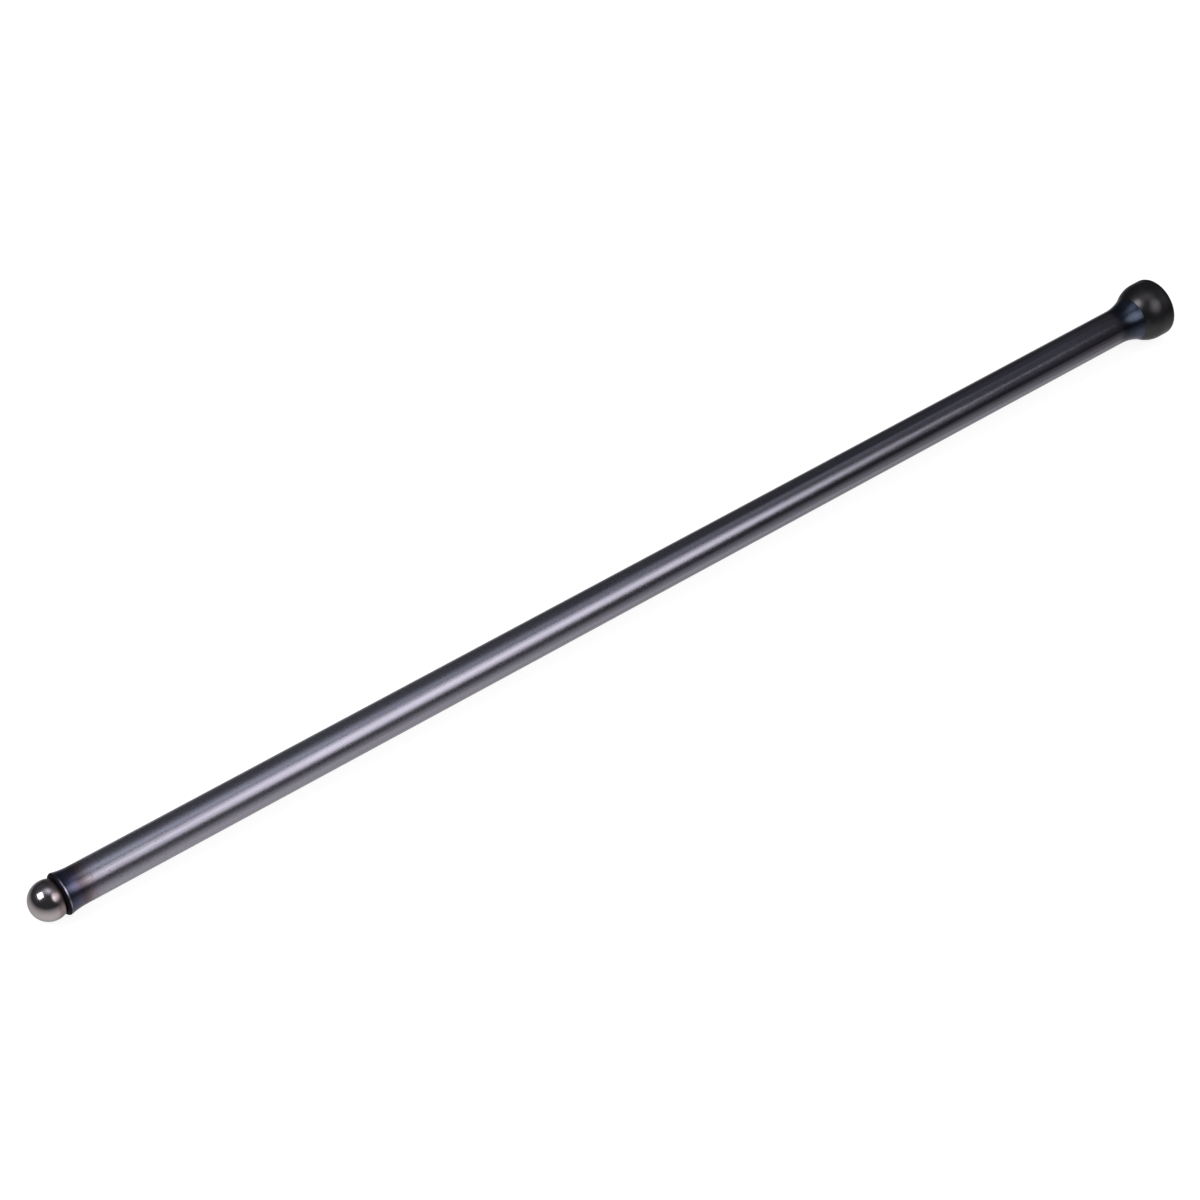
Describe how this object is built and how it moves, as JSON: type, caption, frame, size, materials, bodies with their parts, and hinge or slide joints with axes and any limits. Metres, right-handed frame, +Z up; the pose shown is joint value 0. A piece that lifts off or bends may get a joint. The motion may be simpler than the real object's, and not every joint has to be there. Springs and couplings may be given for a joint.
{
  "type": "engine pushrod",
  "caption": "Slim hollow steel pushrod with a polished ball welded to one end and a blackened, round-bottomed socket cup welded to the other.",
  "frame": {"origin": "centre of the ball", "axes": "+X along the rod from the ball to the mouth of the cup, +Z up with the rod lying down"},
  "size_m": [0.2924, 0.0132, 0.0132],
  "materials": {
    "drawn_steel": "drawn, satin, with weld heat tints at both ends",
    "polished_steel": "polished",
    "black_steel": "blackened, satin"
  },
  "bodies": {
    "root": {"tube": "drawn_steel", "ball_end": "polished_steel", "cup_end": "black_steel"}
  },
  "joints": []
}
